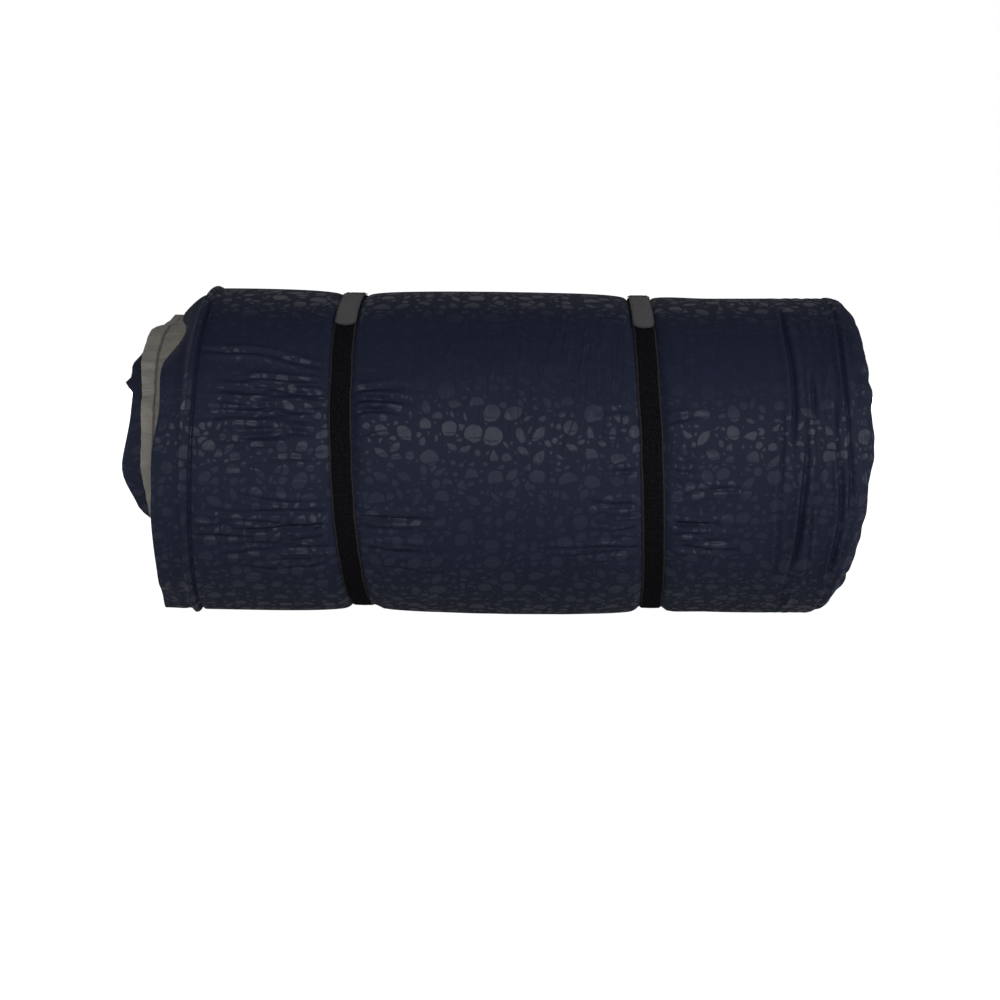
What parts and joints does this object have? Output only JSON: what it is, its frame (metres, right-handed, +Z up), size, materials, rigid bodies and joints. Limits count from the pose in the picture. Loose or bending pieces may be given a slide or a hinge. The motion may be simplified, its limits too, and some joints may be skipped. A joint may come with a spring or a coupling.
{
  "type": "sleeping mat",
  "caption": "Double self-inflating sleeping mat, folded lengthwise, rolled with its fold at one end and open welded edges at the other, held by hook-and-loop straps.",
  "frame": {"origin": "bottom centre of the box round the rolled mat", "axes": "+X along the roll towards the folded end, +Y towards the back with the valve, +Z up"},
  "size_m": [0.6898, 0.328, 0.3145],
  "materials": {
    "printed_fabric": null,
    "back_fabric": "grey coated woven polyester with a paler pressed weld margin",
    "foam": "open-cell foam, squeezed flat",
    "loop_tape": "black brushed loop pile",
    "hook_tape": "dark grey ribbed satin weave, hooks underneath",
    "thread": "black sewing thread",
    "hard_plastic": "fine matt moulded plastic",
    "silicone": "grey silicone rubber"
  },
  "bodies": {
    "mat": {"top_sheet": "printed_fabric", "foam_core": "foam", "bottom_sheet": "back_fabric", "valve_base": "hard_plastic", "valve_seat": "hard_plastic", "valve_flap": "silicone", "strap_left_band": "loop_tape", "strap_left_tab_root": "hook_tape", "strap_left_stitching": "thread", "strap_right_band": "loop_tape", "strap_right_tab_root": "hook_tape", "strap_right_stitching": "thread"},
    "left_tab": {"strap_left_hook_tab": "hook_tape"},
    "right_tab": {"strap_right_hook_tab": "hook_tape"},
    "cap_seal": {"valve_seal": "silicone"},
    "cap": {"valve_cap": "hard_plastic"}
  },
  "joints": [
    {"name": "left_tab_peel", "type": "hinge", "parent": "mat", "child": "left_tab", "pos_m": [-0.13489, -0.02295, 0.30856], "axis": [-1, 0, 0], "range_deg": [0, 100]},
    {"name": "right_tab_peel", "type": "hinge", "parent": "mat", "child": "right_tab", "pos_m": [0.1422, -0.02295, 0.30856], "axis": [-1, 0, 0], "range_deg": [0, 100]},
    {"name": "cap_lift", "type": "slide", "parent": "mat", "child": "cap_seal", "axis": [0, 1, 0], "range_m": [0, 0.0046]},
    {"name": "cap_turn", "type": "hinge", "parent": "cap_seal", "child": "cap", "pos_m": [-0.22691, 0.15595, 0.15455], "axis": [0, 1, 0], "range_deg": [0, 540]}
  ],
  "couplings": [
    {"joint": "cap_lift", "follows": "cap_turn", "m_per_rad": 0.00047746}
  ]
}
